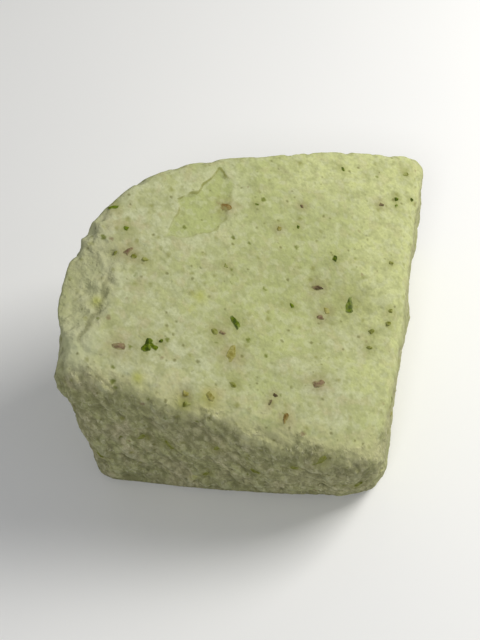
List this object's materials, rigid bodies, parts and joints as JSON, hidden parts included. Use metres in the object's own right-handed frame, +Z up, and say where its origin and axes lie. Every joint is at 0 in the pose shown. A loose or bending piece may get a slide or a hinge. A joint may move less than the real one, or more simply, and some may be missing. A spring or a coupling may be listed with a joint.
{
  "type": "freeze-dried ice cream chunk",
  "caption": "Chunk of freeze-dried pistachio ice cream: a dry, chalky, crumbly wedge with bits of nut in it, broken from a slab, to lie on a plate, in a bowl or in a heap",
  "frame": {"origin": "Middle of the box round the chunk, at the height of its flat base", "axes": "+Z up; the thick end is at -X, the low corner at +X -Y, and the broken front wall faces -Y"},
  "size_m": [0.0388, 0.0374, 0.0242],
  "materials": {
    "ice_cream": "matte"
  },
  "bodies": {
    "root": {"ice_cream_chunk": "ice_cream"}
  },
  "joints": []
}
